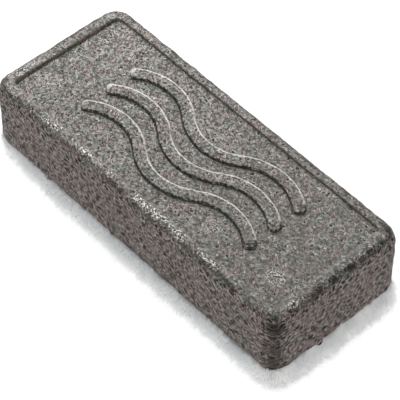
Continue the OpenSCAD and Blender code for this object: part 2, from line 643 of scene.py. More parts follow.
def mixValues(tree, factor, a, b, place=(0, 0)):
    return put(tree, "ShaderNodeMix", place, {0: factor, 2: a, 3: b}).outputs[0]


def remap(tree, value, low, high, place=(0, 0), toLow=0.0, toHigh=1.0):
    inputs = {"Value": value, "From Min": low, "From Max": high, "To Min": toLow, "To Max": toHigh}
    return put(tree, "ShaderNodeMapRange", place, inputs, interpolation_type="SMOOTHSTEP").outputs[0]


def blendColour(tree, factor, a, b, place=(0, 0), kind="MIX"):
    node = put(tree, "ShaderNodeMix", place, {0: factor, 6: a, 7: b}, data_type="RGBA", blend_type=kind)
    return node.outputs[2]


def ramp(tree, value, stops, place=(0, 0)):
    node = put(tree, "ShaderNodeValToRGB", place, {"Fac": value})
    while len(node.color_ramp.elements) < len(stops):
        node.color_ramp.elements.new(0.5)
    for element, (position, colour) in zip(node.color_ramp.elements, stops):
        element.position = position
        element.color = colour
    return node.outputs["Color"]


def between(tree, value, span, places):
    # 1 well inside the span, where its four values are outer low, inner low, inner high and outer high
    rise = remap(tree, value, span[0], span[1], places[0])
    return product(tree, rise, remap(tree, value, span[3], span[2], places[1]), places[2])


def addBump(tree, shader, strength, distance, height, place):
    bump = put(tree, "ShaderNodeBump", place, {"Strength": strength, "Distance": distance, "Height": height})
    tree.links.new(bump.outputs["Normal"], shader.inputs["Normal"])


def newGroup(name, inputs, outputs):
    tree = bpy.data.node_groups.new(name, "ShaderNodeTree")
    for label, kind, value in inputs:
        socket = tree.interface.new_socket(name=label, in_out="INPUT", socket_type="NodeSocket" + kind)
        if value is not None:
            socket.default_value = value
    for label, kind in outputs:
        tree.interface.new_socket(name=label, in_out="OUTPUT", socket_type="NodeSocket" + kind)
    start = put(tree, "NodeGroupInput", (-900, 0))
    end = put(tree, "NodeGroupOutput", (700, 0))
    return tree, start.outputs, end.inputs


def useGroup(tree, group, place, inputs):
    return put(tree, "ShaderNodeGroup", place, inputs, node_tree=group).outputs


def makeGrainGroup():
    # fine fibre grain, patches and slow blotches, each from 0 to 1
    tree, given, result = newGroup(
        "fibreGrain",
        [("Vector", "Vector", None), ("Grain Size", "Float", 0.0007), ("Patch Size", "Float", 0.0015),
         ("Blotch Size", "Float", 0.004)],
        [("Grain", "Float"), ("Patch", "Float"), ("Blotch", "Float")])
    spans = [("Grain", 0.28, 0.72, 200), ("Patch", 0.30, 0.70, 0), ("Blotch", 0.32, 0.68, -200)]
    for name, low, high, y in spans:
        scale = maths(tree, "DIVIDE", 1.0, given[name + " Size"], (-650, y))
        cloud = put(tree, "ShaderNodeTexNoise", (-400, y), {
            "Vector": given["Vector"], "Scale": scale, "Detail": 1.5, "Roughness": 0.6})
        tree.links.new(remap(tree, cloud.outputs["Fac"], low, high, (-100, y)), result[name])
    return tree


def makeStrandGroup():
    # short strands that lie along one slope of a flat pair of coordinates
    tree, given, result = newGroup(
        "strands",
        [("Vector", "Vector", None), ("Slope", "Float", 0.87), ("Length", "Float", 0.0026),
         ("Width", "Float", 0.0009)],
        [("Strand", "Float"), ("Bent", "Vector"), ("Turned", "Vector")])
    wobble = put(tree, "ShaderNodeTexNoise", (-900, -300), {
        "Vector": given["Vector"], "Scale": 260.0, "Detail": 1.0})
    centred = vectorMaths(tree, "SUBTRACT", wobble.outputs["Color"], (0.5, 0.5, 0.5), (-700, -300))
    pushed = put(tree, "ShaderNodeVectorMath", (-520, -300), {
        0: centred, "Scale": 2.2 * mm}, operation="SCALE")
    bent = vectorMaths(tree, "ADD", given["Vector"], pushed.outputs[0], (-340, -200))
    turned = put(tree, "ShaderNodeVectorRotate", (-160, -100), {
        "Vector": bent, "Angle": product(tree, given["Slope"], -1.0, (-340, 100))},
        rotation_type="Z_AXIS").outputs[0]
    stretch = put(tree, "ShaderNodeCombineXYZ", (-160, -400), {
        "X": given["Length"], "Y": given["Width"], "Z": given["Width"]})
    laid = vectorMaths(tree, "DIVIDE", turned, stretch.outputs[0], (20, -100))
    strand = put(tree, "ShaderNodeTexNoise", (200, -100), {"Vector": laid, "Scale": 1.0, "Detail": 2.0})
    sharp = remap(tree, strand.outputs["Fac"], 0.28, 0.72, (420, 0))
    tree.links.new(sharp, result["Strand"])
    tree.links.new(bent, result["Bent"])
    tree.links.new(turned, result["Turned"])
    return tree


def makeSpeckGroup():
    # small round specks in a share of the cells, 1 in a speck's middle, and a soft ring just outside each
    tree, given, result = newGroup(
        "specks",
        [("Vector", "Vector", None), ("Cell", "Float", 0.0012), ("Reach", "Float", 0.25),
         ("Share", "Float", 0.3)],
        [("Speck", "Float"), ("Ring", "Float")])
    scale = maths(tree, "DIVIDE", 1.0, given["Cell"], (-650, 100))
    cells = put(tree, "ShaderNodeTexVoronoi", (-450, 0), {"Vector": given["Vector"], "Scale": scale},
                voronoi_dimensions="2D")
    apart = put(tree, "ShaderNodeSeparateColor", (-250, -150), {0: cells.outputs["Color"]})
    chosen = maths(tree, "LESS_THAN", apart.outputs[0], given["Share"], (-50, -150))
    away = maths(tree, "DIVIDE", cells.outputs["Distance"], given["Reach"], (-250, 100))
    near = maths(tree, "SUBTRACT", 1.0, away, (-50, 100), clamp=True)
    tree.links.new(product(tree, near, chosen, (200, 0)), result["Speck"])
    off = maths(tree, "ABSOLUTE", maths(tree, "SUBTRACT", away, 1.35, (-50, 300)), 0, (100, 300))
    ring = maths(tree, "SUBTRACT", 1.0, product(tree, off, 2.6, (250, 300)), (400, 300), clamp=True)
    tree.links.new(product(tree, ring, chosen, (500, 200)), result["Ring"])
    return tree


grainGroup = makeGrainGroup()
strandGroup = makeStrandGroup()
speckGroup = makeSpeckGroup()
print("shader groups ready")


def grains(tree, vector, sizes, place):
    return useGroup(tree, grainGroup, place, {
        "Vector": vector, "Grain Size": sizes[0], "Patch Size": sizes[1], "Blotch Size": sizes[2]})


def strands(tree, vector, slope, size, place):
    return useGroup(tree, strandGroup, place, {
        "Vector": vector, "Slope": slope, "Length": size[0], "Width": size[1]})


def specks(tree, vector, shape, place):
    return useGroup(tree, speckGroup, place, {
        "Vector": vector, "Cell": shape[0], "Reach": shape[1], "Share": shape[2]})


def newMaterial(name, roughness, sheen=0.0):
    material = bpy.data.materials.new(name)
    material.use_nodes = True
    tree = material.node_tree
    shader = tree.nodes["Principled BSDF"]
    shader.inputs["Roughness"].default_value = roughness
    shader.inputs["Specular IOR Level"].default_value = 0.25
    shader.inputs["Sheen Weight"].default_value = sheen
    shader.inputs["Sheen Roughness"].default_value = 0.6
    return material, tree, shader


# felt of the block

felt = {
    "dark": (0.015, 0.0135, 0.012, 1),
    "mid": (0.085, 0.079, 0.074, 1),
    "pale": (0.205, 0.195, 0.187, 1),
    # the sides' warmer tint, with a slight painted shade against the top
    "sideTintAndShade": (1.05, 0.935, 0.925, 1),
    "greenish": (0.92, 1.01, 0.98, 1),
    "pinkish": (1.07, 0.98, 0.97, 1),
    "hole": (0.006, 0.005, 0.004, 1),
    "fleck": (0.50, 0.48, 0.465, 1),
    # pale fray strands, also a painted glint on the arris
    "bright": (0.62, 0.60, 0.58, 1),
    # near-black and brown colours of the painted shade on the ridges' front flanks and on the step down to
    # the panel
    "shadeColour": (0.012, 0.012, 0.010, 1),
    "brown": (0.052, 0.040, 0.033, 1),
    # pale colour of the painted highlight on the ridges' back edges
    "paintedHighlight": (0.40, 0.378, 0.365, 1),
    # tint of the painted shade
    "shadeTint": (0.42, 0.385, 0.365, 1),
    "grainSizes": (0.34 * mm, 0.95 * mm, 3.0 * mm),
    "fraySizes": (0.46 * mm, 1.1 * mm, 3 * mm),
    "crumbSizes": (0.42 * mm, 1.1 * mm, 3 * mm),
    "sideStrand": (1.0 * mm, 0.31 * mm),      # length and width
    "topStrand": (1.3 * mm, 0.30 * mm),
    "topSlopes": (0.35, 2.2),
    "topPits": (1.5 * mm, 0.36, 0.14),        # cell, reach and share
    "sidePits": (1.15 * mm, 0.42, 0.36),
    "strays": (1.5 * mm, 0.55, 0.4),
    "wobble": 0.9 * mm,
    "frontFlank": (-2.42 * mm, -2.22 * mm, -1.96 * mm, -1.78 * mm),
    "backEdge": (1.35 * mm, 1.70 * mm, 2.1 * mm, 2.35 * mm),
    "stepSpan": (-1.3, -0.8, 0.3, 1.0),
    "bump": 0.16 * mm,
}


def feltMarks(tree):
    marks = {}
    names = ["flow", "side", "wornAndGlint", "crumbled", "paintedShade", "lateral", "ridge", "paintedHighlight", "step", "shaded"]
    for i, name in enumerate(names):
        mark = put(tree, "ShaderNodeAttribute", (-2300, -300 - 180 * i), attribute_name=name)
        marks[name] = mark.outputs["Vector" if name == "flow" else "Fac"]
    marks["top"] = maths(tree, "SUBTRACT", 1.0, marks["side"], (-2100, -200))
    return marks


def feltTone(tree, place, marks, grain, strand):
    # grain and crossed strands on top, slanted strands on the sides, darker where painted shade is marked
    along = put(tree, "ShaderNodeSeparateXYZ", (-2000, 1300), {0: place}).outputs["X"]
    lain = [strands(tree, place, slope, felt["topStrand"], (-2000, 700 + 250 * i))["Strand"]
            for i, slope in enumerate(felt["topSlopes"])]
    crossed = mixValues(tree, grain["Blotch"], lain[0], lain[1], (-1750, 700))
    crumbs = mixValues(tree, 0.56, grain["Grain"], grain["Patch"], (-1750, 300))
    topTone = mixValues(tree, 0.42, crumbs, crossed, (-1650, 500))
    topTone = remap(tree, topTone, 0.03, 0.97, (-1650, 650))
    # the near part of the top is smoother, and the right end has more contrast
    calm = remap(tree, along, -25 * mm, 45 * mm, (-1750, 1100), 0.0, 0.28)
    topTone = mixValues(tree, calm, topTone, 0.47, (-1600, 300))
    endward = remap(tree, along, 50 * mm, 60 * mm, (-2000, -100), 0.0, 0.14)
    sideLow = maths(tree, "ADD", endward, 0.12, (-1850, -200))
    sideHigh = maths(tree, "SUBTRACT", 0.94, endward, (-1850, -400))
    sideTone = remap(tree, strand["Strand"], sideLow, sideHigh, (-1750, -300))
    tone = mixValues(tree, marks["side"], topTone, sideTone, (-1550, 100))
    darker = product(tree, marks["paintedShade"], 0.38, (-1600, -50))
    return maths(tree, "SUBTRACT", tone, darker, (-1450, 0)), crossed


def feltColour(tree, marks, grain, tone):
    stops = [(0.10, felt["dark"]), (0.5, felt["mid"]), (0.90, felt["pale"])]
    colour = ramp(tree, tone, stops, (-1350, 100))
    tint = blendColour(tree, grain["Blotch"], felt["greenish"], felt["pinkish"], (-1350, 350))
    colour = blendColour(tree, 1.0, colour, tint, (-1050, 200), kind="MULTIPLY")
    # the sides get a warmer tint and are set a little darker than the top: partly painted shade
    sideToned = blendColour(tree, 1.0, colour, felt["sideTintAndShade"], (-1050, 0), kind="MULTIPLY")
    return blendColour(tree, marks["side"], colour, sideToned, (-950, 100))


def feltSpots(tree, place, marks, grain, strand, crossed):
    # masks of the pits, and of their pale lips and the stray pale fibres
    cloud = put(tree, "ShaderNodeTexNoise", (-2300, -1100), {"Vector": place, "Scale": 900.0})
    wobbled = put(tree, "ShaderNodeVectorMath", (-2100, -1000), {
        0: cloud.outputs["Color"], 1: (felt["wobble"],) * 3, 2: place}, operation="MULTIPLY_ADD").outputs[0]
    topPits = specks(tree, wobbled, felt["topPits"], (-2000, -1100))
    dashes = vectorMaths(tree, "MULTIPLY", strand["Turned"], (0.45, 1.0, 1.0), (-2150, -1350))
    sidePits = specks(tree, dashes, felt["sidePits"], (-2000, -1350))
    pits = mixValues(tree, marks["side"], topPits["Speck"], sidePits["Speck"], (-1700, -1150))
    lips = mixValues(tree, marks["side"], topPits["Ring"], sidePits["Ring"], (-1700, -1350))
    # on top the pits are ragged and the stray fibres are bits of strand
    ragged = remap(tree, grain["Grain"], 0.85, 0.45, (-1600, -1000))
    ragged = product(tree, ragged, marks["top"], (-1450, -1000))
    kept = maths(tree, "ADD", ragged, marks["side"], (-1300, -1050))
    pitMask = product(tree, remap(tree, pits, 0.03, 0.32, (-1450, -1150)), kept, (-1200, -1050), clamp=True)
    strays = specks(tree, wobbled, felt["strays"], (-2000, -1850))["Speck"]
    strays = remap(tree, strays, 0.0, 0.4, (-1450, -1850))
    strays = product(tree, strays, remap(tree, crossed, 0.5, 0.8, (-1450, -2000)), (-1250, -1850))
    strays = product(tree, strays, product(tree, marks["top"], 0.36, (-1250, -2000)), (-1100, -1850))
    paleMask = maths(tree, "MAXIMUM", strays, product(tree, lips, 0.16, (-1450, -1400)), (-750, -1600))
    return pitMask, paleMask


def feltFray(tree, place, marks, strand, colour):
    # the frayed arris and the crumbled spots: bright strands with dark gaps between them; on the arris the
    # bright strands are also a painted glint
    fray = grains(tree, strand["Bent"], felt["fraySizes"], (-2000, -2100))
    frayStops = [(0.36, felt["hole"]), (0.53, felt["mid"]), (0.76, felt["bright"])]
    frayed = ramp(tree, fray["Grain"], frayStops, (-1450, -2100))
    crumb = grains(tree, place, felt["crumbSizes"], (-2000, -2400))
    crumbStops = [(0.34, felt["hole"]), (0.50, felt["mid"]), (0.80, felt["fleck"])]
    crumbled = ramp(tree, crumb["Grain"], crumbStops, (-1450, -2400))
    patchy = remap(tree, fray["Patch"], 0.22, 0.60, (-1450, -2800))
    colour = blendColour(tree, marks["crumbled"], colour, crumbled, (-520, 100))
    bared = product(tree, marks["wornAndGlint"], patchy, (-1200, -2100))
    return blendColour(tree, bared, colour, frayed, (-450, 100))


def feltRelief(tree, marks, grain, colour):
    # painted shade on the front flank of each ridge and on the step at the rim, and a painted highlight on
    # the back edge of each ridge
    uneven = remap(tree, grain["Patch"], 0.0, 1.0, (-1100, -600), -0.12 * mm, 0.12 * mm)
    lateral = maths(tree, "ADD", marks["lateral"], uneven, (-950, -600))
    firmness = remap(tree, grain["Blotch"], 0.0, 1.0, (-1100, -750), 0.85, 1.0)
    front = between(tree, lateral, felt["frontFlank"], [(-900, -800), (-900, -600), (-700, -600)])
    front = product(tree, front, marks["ridge"], (-550, -600))
    front = product(tree, front, product(tree, firmness, 0.97, (-550, -700)), (-400, -600))
    stepNoise = remap(tree, grain["Patch"], 0.0, 1.0, (-1100, -1000), -0.25, 0.25)
    step = maths(tree, "ADD", marks["step"], stepNoise, (-950, -1000))
    stepMask = between(tree, step, felt["stepSpan"], [(-900, -1200), (-900, -1000), (-700, -1000)])
    stepMask = product(tree, stepMask, marks["shaded"], (-550, -1000))
    # painted shade on the step: brown at its top, near black at its foot
    stepShade = remap(tree, step, 0.2, -0.7, (-700, -1200))
    stepShade = blendColour(tree, stepShade, felt["brown"], felt["shadeColour"], (-400, -1000))
    # painted highlight along each ridge's back edge
    back = between(tree, lateral, felt["backEdge"], [(-900, -1400), (-900, -1600), (-700, -1400)])
    back = product(tree, product(tree, back, marks["paintedHighlight"], (-550, -1400)), firmness, (-400, -1400))
    colour = blendColour(tree, product(tree, stepMask, 0.88, (-400, -800)), colour, stepShade, (-150, 0))
    colour = blendColour(tree, front, colour, felt["shadeColour"], (0, 0))
    return blendColour(tree, product(tree, back, 0.8, (-250, -1400)), colour, felt["paintedHighlight"], (150, 0))


def makeFelt():
    material, tree, shader = newMaterial("mouldedFelt", 0.92, sheen=0.03)
    shader.inputs["Specular IOR Level"].default_value = 0.1
    place = put(tree, "ShaderNodeTexCoord", (-2300, 0)).outputs["Object"]
    marks = feltMarks(tree)
    grain = grains(tree, place, felt["grainSizes"], (-2000, 300))
    strand = strands(tree, marks["flow"], surface["fibreSlope"], felt["sideStrand"], (-2000, -300))
    tone, crossed = feltTone(tree, place, marks, grain, strand)
    colour = feltColour(tree, marks, grain, tone)
    pitMask, paleMask = feltSpots(tree, place, marks, grain, strand, crossed)
    colour = blendColour(tree, paleMask, colour, felt["fleck"], (-800, 100))
    pitMask = product(tree, pitMask, 0.92, (-1200, -1150))
    colour = blendColour(tree, pitMask, colour, felt["hole"], (-600, 100))
    colour = feltFray(tree, place, marks, strand, colour)
    # painted shade where the painted-shade mark is set
    shaded = blendColour(tree, 1.0, colour, felt["shadeTint"], (-500, -300), kind="MULTIPLY")
    colour = blendColour(tree, product(tree, marks["paintedShade"], 0.42, (-500, -450)), colour, shaded, (-300, 0))
    colour = feltRelief(tree, marks, grain, colour)
    tree.links.new(colour, shader.inputs["Base Color"])
    height = maths(tree, "SUBTRACT", tone, product(tree, pitMask, 1.4, (-1200, -900)), (-950, -900))
    height = maths(tree, "ADD", height, product(tree, paleMask, 0.5, (-950, -1100)), (-750, -900))
    addBump(tree, shader, 0.9, felt["bump"], height, (-350, -900))
    shader.location = (400, 0)
    tree.nodes["Material Output"].location = (700, 0)
    return material


def dress(obj, material, nodeName=None):
    obj.data.materials.clear()
    obj.data.materials.append(material)
    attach(obj, "root")
    if nodeName:
        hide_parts(nodeName)


dress(handleBlock, makeFelt(), "handle_block")
print("felt on the block")


# pile: a soft core, simulated as a pad held by its glued top, and the tufts of fibre that cover it

pad = {
    "inset": 0.5 * mm,        # the core's top lies this far inside the cloth's edge
    "coreSpread": 0.2 * mm,   # its foot stands out this much further than its top
    "spread": 0.9 * mm,       # and the fibres round it this much
    "lift": 0.55 * mm,        # the core stays this far above the tips of the fibres
    "footRadius": 1.3 * mm,
    "voxel": 1.3 * mm,
    "pressure": 4.0,
    "frames": 20,
    "swellCap": 0.30 * mm,
    "lump": 0.15 * mm,
    "seed": 21,
    "nearTuck": 1.2 * mm,     # the near side of the pile stands in by about this much towards its ends
    "leftTuck": 1.6 * mm,     # the left end stands in by this much
    "rightReach": 0.9 * mm,   # and the right end out by this much
    "bend": 9 * mm,           # only this much of the core's rim follows
}


def pileCoreBlank():
    size = clothHigh - clothLow - Vector((1, 1, 0)) * 2 * pad["inset"]
    size.z = pileHigh.z - pad["lift"]
    middle = (0, 0, pad["lift"] + size.z / 2)
    bpy.ops.mesh.primitive_cube_add(size=1, location=middle, scale=size)
    obj = bpy.context.object
    obj.name = obj.data.name = "pilePad"
    applyPlace(obj)

    def upright(edge):
        a, b = edgeEnds(obj, edge)
        return abs(a.z - b.z) > size.z / 2

    def foot(edge):
        a, b = edgeEnds(obj, edge)
        return max(a.z, b.z) < pad["lift"] + 0.01 * mm

    selectInEdit(obj, "EDGE", upright)
    bpy.ops.mesh.bevel(offset=block["cornerRadius"], segments=8, affect="EDGES")
    selectInEdit(obj, "EDGE", foot)
    wider = 2 * pad["coreSpread"]
    bpy.ops.transform.resize(value=(1 + wider / size.x, 1 + wider / size.y, 1))
    bpy.ops.mesh.bevel(offset=pad["footRadius"], segments=3, affect="EDGES")
    bpy.ops.object.mode_set(mode="OBJECT")
    applyModifier(obj, "REMESH", mode="VOXEL", voxel_size=pad["voxel"])
    return obj


def simulatePad(obj):
    # the sides and the underside swell a little, the glued top stays where it is
    before = readPoints(obj)
    glued = obj.vertex_groups.new(name="glued")
    glued.add([i for i, p in enumerate(before) if p[2] > pileHigh.z - 0.6 * mm], 1.0, "REPLACE")
    makeActive(obj)
    cloth = obj.modifiers.new("cloth", "CLOTH")
    cloth.settings.use_pressure = True
    cloth.settings.uniform_pressure_force = pad["pressure"]
    cloth.settings.effector_weights.gravity = 0
    cloth.settings.vertex_group_mass = "glued"
    cloth.point_cache.frame_start, cloth.point_cache.frame_end = 1, pad["frames"]
    for frameNumber in range(1, pad["frames"] + 1):
        bpy.context.scene.frame_set(frameNumber)
    bpy.ops.object.modifier_apply(modifier=cloth.name)
    bpy.context.scene.frame_set(1)
    moved = readPoints(obj) - before
    travel = np.linalg.norm(moved, axis=1)
    print("pad swelled by up to %.2f mm before the cap" % (travel.max() / mm))
    share = np.minimum(1, pad["swellCap"] / np.maximum(travel, 1e-9))
    after = before + moved * share[:, None]
    after[:, 2] = np.clip(after[:, 2], pad["lift"], pileHigh.z)
    writePoints(obj, after)
    obj.vertex_groups.clear()


def footReach(x, y, outX, outY, height):
    # how much further out the pile stands at one place than evenly all round, zero at its top
    down = np.clip(1 - height / pileHigh.z, 0, 1)
    ends = 0.5 + 0.6 * smoothStep(5 * mm, 45 * mm, x) + 1.2 * smoothStep(-30 * mm, -60 * mm, x)
    reach = -pad["nearTuck"] * ends * np.maximum(0, -outY) - pad["leftTuck"] * np.maximum(0, -outX)
    reach += pad["rightReach"] * np.maximum(0, outX) * smoothStep(-24 * mm, -12 * mm, y)
    return reach * down


def buildPileCore():
    obj = pileCoreBlank()
    simulatePad(obj)
    applyModifier(obj, "SUBSURF", levels=1, render_levels=1)
    points, normals = readPoints(obj), readNormals(obj)
    free = smoothStep(pileHigh.z - 0.2 * mm, pileHigh.z - 1.2 * mm, points[:, 2])
    lumps = lumpNoise(points, 3.6 * mm, pad["seed"]) + 0.5 * lumpNoise(points, 1.4 * mm, pad["seed"] + 1)
    points += normals * (pad["lump"] * lumps * free)[:, None]
    inner = np.array([clothHigh.x, clothHigh.y]) - pad["bend"]
    beyond = points[:, :2] - np.clip(points[:, :2], -inner, inner)
    beyond /= np.maximum(np.linalg.norm(beyond, axis=1), pad["bend"])[:, None]
    reach = footReach(points[:, 0], points[:, 1], beyond[:, 0], beyond[:, 1], points[:, 2])
    points[:, :2] += beyond * reach[:, None]
    points[:, 2] = np.clip(points[:, 2], 0.3 * mm, pileHigh.z)
    writePoints(obj, points)
    makeActive(obj)
    bpy.ops.object.shade_smooth()
    return obj


tuft = {
    "kinds": 4,
    "fibres": 6,
    "length": 2.7 * mm,
    "baseRadius": 0.12 * mm,
    "taper": 0.72,            # radius after each of the two lengths
    "splay": 0.42 * mm,       # how far apart the fibres of a tuft start
    "lean": 0.34,             # sideways drift of a fibre over its length
    "rows": [height * mm for height in (8.8, 8.0, 7.2, 6.4, 5.5, 4.6, 3.6, 2.6, 1.6)],
    "rootInset": 0.25 * mm,
    "topInset": 0.3 * mm,     # the rows above the pile start this far inside the block's edge
    "spacing": 0.98 * mm,
    "outward": 0.62,
    "downward": 0.80,
    "scallop": 0.55 * mm,     # the skirt's edge bulges and tucks in by this much
    "scallopLength": 6.5 * mm,
    "facePitch": 1.75 * mm,
    "faceLength": 1.5 * mm,
    "faceHeight": 1.0 * mm,
    "rowsApart": 5,           # the skirt's upper rows are one piece and the others another
    "seed": 33,
}


def makeFibre(length, lean, start):
    # a bent three-sided fibre, drawn up in two lengths
    radius = tuft["baseRadius"]
    half = length / 2
    bpy.ops.mesh.primitive_cone_add(
        vertices=3, radius1=radius, radius2=radius * tuft["taper"], depth=half, location=(0, 0, half / 2))
    obj = bpy.context.object
    applyPlace(obj)
    selectInEdit(obj, "FACE", lambda f: f.normal.z > 0.9)
    bpy.ops.mesh.extrude_region_move(TRANSFORM_OT_translate={"value": (lean[0], lean[1], half)})
    bpy.ops.transform.resize(value=(0.35, 0.35, 1))
    bpy.ops.object.mode_set(mode="OBJECT")
    points = readPoints(obj)
    points[:, :2] += np.outer(smoothStep(0, half, points[:, 2]), np.array(lean) * 0.35)
    points[:, :2] += np.array(start)
    writePoints(obj, points)
    return obj


def makeTuft(name, count, length, rng):
    fibres = []
    for i in range(count):
        angle = 2 * math.pi * (i + rng.uniform(-0.3, 0.3)) / count
        away = tuft["splay"] * rng.uniform(0.35, 1.0)
        start = (away * math.cos(angle), away * math.sin(angle))
        drift = length * tuft["lean"] * rng.uniform(0.2, 1.0)
        turn = angle + rng.uniform(-1.2, 1.2)
        lean = (drift * math.cos(turn), drift * math.sin(turn))
        fibres.append(makeFibre(length * rng.uniform(0.75, 1.1), lean, start))
    joinPieces(fibres[0], fibres[1:])
    fibres[0].name = fibres[0].data.name = name
    return fibres[0]


def tuftShape(obj):
    obj.data.calc_loop_triangles()
    triangles = np.zeros(len(obj.data.loop_triangles) * 3, np.int32)
    obj.data.loop_triangles.foreach_get("vertices", triangles)
    return readPoints(obj), triangles.reshape(-1, 3)


def plantTufts(name, tufts, places):
    # copies the tufts into one mesh; a place is (origin, direction, sideways, size)
    rng = random.Random(tuft["seed"] + len(places))
    shapes = [tuftShape(obj) for obj in tufts]
    allPoints, allTriangles, shades, first = [], [], [], 0
    for origin, direction, sideways, size in places:
        points, triangles = rng.choice(shapes)
        along = np.array(direction) / np.linalg.norm(direction)
        across = np.cross(along, sideways)
        across /= np.linalg.norm(across)
        frame3 = np.stack([np.cross(across, along), across, along])
        allPoints.append(points * size @ frame3 + origin)
        allTriangles.append(triangles + first)
        shades.append(np.full(len(points), rng.random()))
        first += len(points)
    points, triangles = np.concatenate(allPoints), np.concatenate(allTriangles)
    points[:, 2] = np.clip(points[:, 2], 0.02 * mm, None)
    mesh = bpy.data.meshes.new(name)
    mesh.from_pydata(points.tolist(), [], triangles.tolist())
    obj = bpy.data.objects.new(name, mesh)
    bpy.context.scene.collection.objects.link(obj)
    storeValue(obj, "tuftShade", np.concatenate(shades))
    for extra in tufts:
        bpy.data.objects.remove(extra)
    makeActive(obj)
    bpy.ops.object.shade_smooth()
    return obj


def outlineWalk(halfLength, halfWidth, radius, step):
    # evenly spaced points round a rounded rectangle, each with its outward direction
    a, b = halfLength - radius, halfWidth - radius
    places = []
    corners = [((a, b), 0), ((-a, b), 90), ((-a, -b), 180), ((a, -b), 270)]
    for i, (centre, start) in enumerate(corners):
        count = round(radius * math.pi / 2 / step)
        for k in range(count):
            angle = math.radians(start + 90 * (k + 0.5) / count)
            way = (math.cos(angle), math.sin(angle))
            places.append(((centre[0] + radius * way[0], centre[1] + radius * way[1]), way))
        following = corners[(i + 1) % 4][0]
        angle = math.radians(start + 90)
        way = (math.cos(angle), math.sin(angle))
        run = math.hypot(following[0] - centre[0], following[1] - centre[1])
        count = round(run / step)
        for k in range(count):
            t = (k + 0.5) / count
            x = centre[0] + (following[0] - centre[0]) * t + radius * way[0]
            y = centre[1] + (following[1] - centre[1]) * t + radius * way[1]
            places.append(((x, y), way))
    return places


def skirtPlaces(rows):
    rng = random.Random(tuft["seed"] + len(rows))
    places = []
    for rowHeight in rows:
        out = pad["spread"] * max(0, 1 - rowHeight / pileHigh.z) - tuft["rootInset"]
        if rowHeight > pileHigh.z:
            out = -tuft["topInset"]
        for (x, y), way in outlineWalk(clothHigh.x, clothHigh.y, block["cornerRadius"], tuft["spacing"]):
            slow = noise.noise(Vector((x, y, 0)) / tuft["scallopLength"])
            reach = out + tuft["scallop"] * max(slow, -0.5) + rng.uniform(-0.12, 0.12) * mm
            reach += footReach(x, y, way[0], way[1], rowHeight)
            height = rowHeight + rng.uniform(-0.3, 0.3) * mm
            origin = np.array([x + way[0] * reach, y + way[1] * reach, height])
            tangent = np.array([-way[1], way[0], 0])
            drift = rng.uniform(-0.22, 0.22) + 0.35 * noise.noise(Vector((x, y, 9)) / (9 * mm))
            outward = tuft["outward"] + rng.uniform(-0.12, 0.12) + 0.25 * slow
            # the fibres are shorter and steeper by the far left corner
            short = smoothStep(-44 * mm, -62 * mm, x)
            direction = np.array([way[0], way[1], 0]) * outward * (1 - 0.4 * short) + tangent * drift
            direction[2] = -tuft["downward"]
            places.append((origin, direction, tangent, rng.uniform(0.85, 1.1) * (1 - 0.3 * short)))
    return places


def facePlaces():
    rng = random.Random(tuft["seed"] + 1)
    halfX, halfY = clothHigh.x + 0.2 * mm, clothHigh.y + 0.2 * mm
    step = tuft["facePitch"]
    places = []
    for i in range(int(2 * halfX / step) + 1):
        for k in range(int(2 * halfY / step) + 1):
            x = -halfX + (i + rng.uniform(0.1, 0.9)) * step
            y = -halfY + (k + rng.uniform(0.1, 0.9)) * step
            if outlineDistance(np.array([[x, y, 0]]), halfX, halfY, block["cornerRadius"])[0] > 0:
                continue
            lie = 2.4 * noise.noise(Vector((x, y, 0)) / (14 * mm)) + rng.uniform(-0.5, 0.5)
            origin = np.array([x, y, tuft["faceHeight"]])
            direction = (math.cos(lie), math.sin(lie), -0.75)
            places.append((origin, direction, np.array([0, 1, 0.1]), rng.uniform(0.85, 1.15)))
    return places


pilePad = buildPileCore()
print("pile core:", len(pilePad.data.polygons), "faces")
tuftRandom = random.Random(tuft["seed"])


def tuftKinds(length):
    return [makeTuft("tuft", tuft["fibres"], length, tuftRandom) for i in range(tuft["kinds"])]


skirtTufts, hemTufts = tuftKinds(tuft["length"]), tuftKinds(tuft["length"])
pileSkirt = plantTufts("pileSkirt", skirtTufts, skirtPlaces(tuft["rows"][:tuft["rowsApart"]]))
pileHem = plantTufts("pileHem", hemTufts, skirtPlaces(tuft["rows"][tuft["rowsApart"]:]))
pileFace = plantTufts("pileFace", tuftKinds(tuft["faceLength"]), facePlaces())
print("pile fibres:", [len(obj.data.polygons) for obj in (pileSkirt, pileHem, pileFace)], "triangles")


pile = {
    # the root colour is darker to paint the shade under the block
    "root": (0.575, 0.59, 0.598, 1),
    "tip": (0.93, 0.935, 0.93, 1),
    # grey of the painted shade on the pile's right end
    "shadeColour": (0.80, 0.80, 0.79, 1),
    "grainSizes": (0.45 * mm, 1.6 * mm, 7 * mm),
    "stretch": (1.0, 1.0, 0.22),
    "bump": 0.15 * mm,
}


